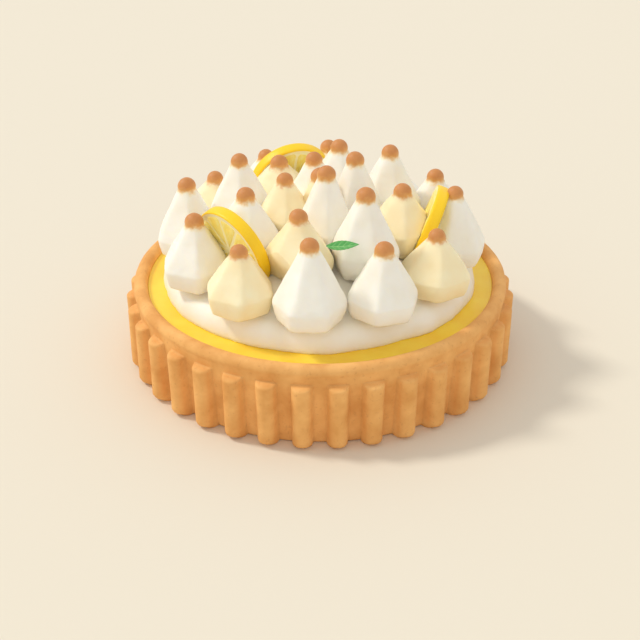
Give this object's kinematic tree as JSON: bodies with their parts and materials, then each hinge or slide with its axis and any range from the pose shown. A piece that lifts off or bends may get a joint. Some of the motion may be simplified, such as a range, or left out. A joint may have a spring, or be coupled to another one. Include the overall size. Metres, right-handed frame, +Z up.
{
  "type": "lemon meringue pie",
  "caption": "Round lemon meringue pie: fluted pastry case with rolled rim, lemon curd, meringue bed, torched kisses, lemon wheels and a mint leaf.",
  "frame": {"origin": "centre of the flat underside of the pastry case", "axes": "+Z up, -Y towards the front of the pie"},
  "size_m": [0.2322, 0.2322, 0.126],
  "materials": {
    "pastry": "baked shortcrust pastry, golden brown, matt",
    "curd": "set lemon curd, smooth and glossy",
    "meringue": "whipped meringue, satin, tips torched brown",
    "lemon": "fresh lemon flesh and rind, moist",
    "leaf": "fresh mint leaf, satin"
  },
  "bodies": {
    "root": {"pastry_case": "pastry", "lemon_curd": "curd", "meringue_bed": "meringue", "kiss_outer_01": "meringue", "kiss_outer_02": "meringue", "kiss_outer_03": "meringue", "kiss_outer_04": "meringue", "kiss_outer_05": "meringue", "kiss_outer_06": "meringue", "kiss_outer_07": "meringue", "kiss_outer_08": "meringue", "kiss_outer_09": "meringue", "kiss_outer_10": "meringue", "kiss_outer_11": "meringue", "kiss_outer_12": "meringue", "kiss_middle_01": "meringue", "kiss_middle_02": "meringue", "kiss_middle_03": "meringue", "kiss_middle_04": "meringue", "kiss_middle_05": "meringue", "kiss_middle_06": "meringue", "kiss_middle_07": "meringue", "kiss_middle_08": "meringue", "kiss_inner_01": "meringue", "kiss_inner_02": "meringue", "kiss_inner_03": "meringue", "kiss_inner_04": "meringue", "kiss_centre_01": "meringue", "lemon_wheel_left": "lemon", "lemon_wheel_back": "lemon", "lemon_wheel_right": "lemon", "mint_leaf": "leaf"}
  },
  "joints": []
}
